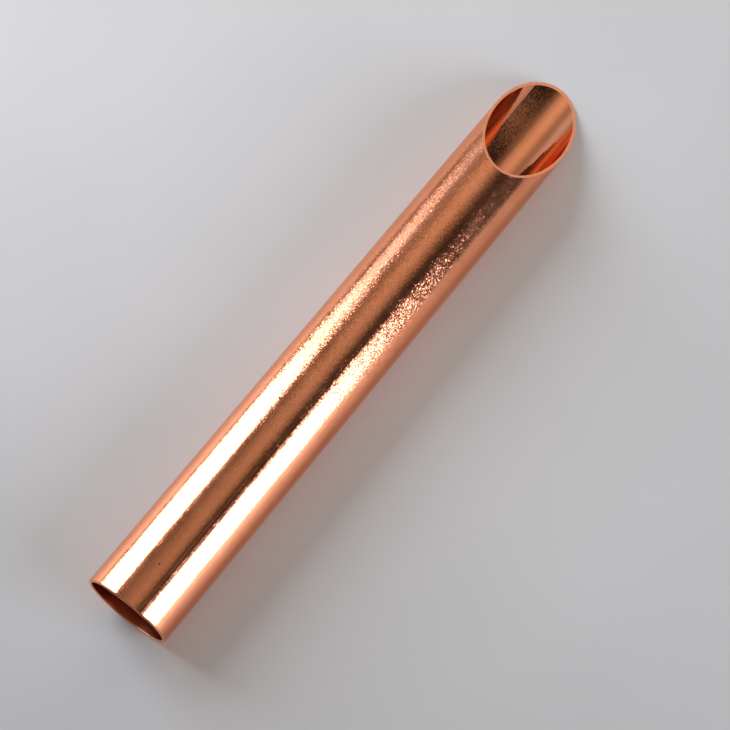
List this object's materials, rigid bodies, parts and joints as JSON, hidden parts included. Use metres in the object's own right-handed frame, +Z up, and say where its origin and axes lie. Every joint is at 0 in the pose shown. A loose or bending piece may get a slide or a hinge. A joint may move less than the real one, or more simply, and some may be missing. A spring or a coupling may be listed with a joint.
{
  "type": "copper tube offcut",
  "caption": "Straight offcut of thin-walled drawn copper tube, cut square at one end and mitred to a long oval mouth at the other.",
  "frame": {"origin": "on the tube's axis, in the plane of the square-cut end", "axes": "+X along the tube's axis towards the mitred end, +Z up; the mitre's face looks up and along +X, and leans 15 degrees towards -Y"},
  "size_m": [0.2042, 0.0254, 0.0254],
  "materials": {
    "copper": "gloss"
  },
  "bodies": {
    "root": {"tube": "copper"}
  },
  "joints": []
}
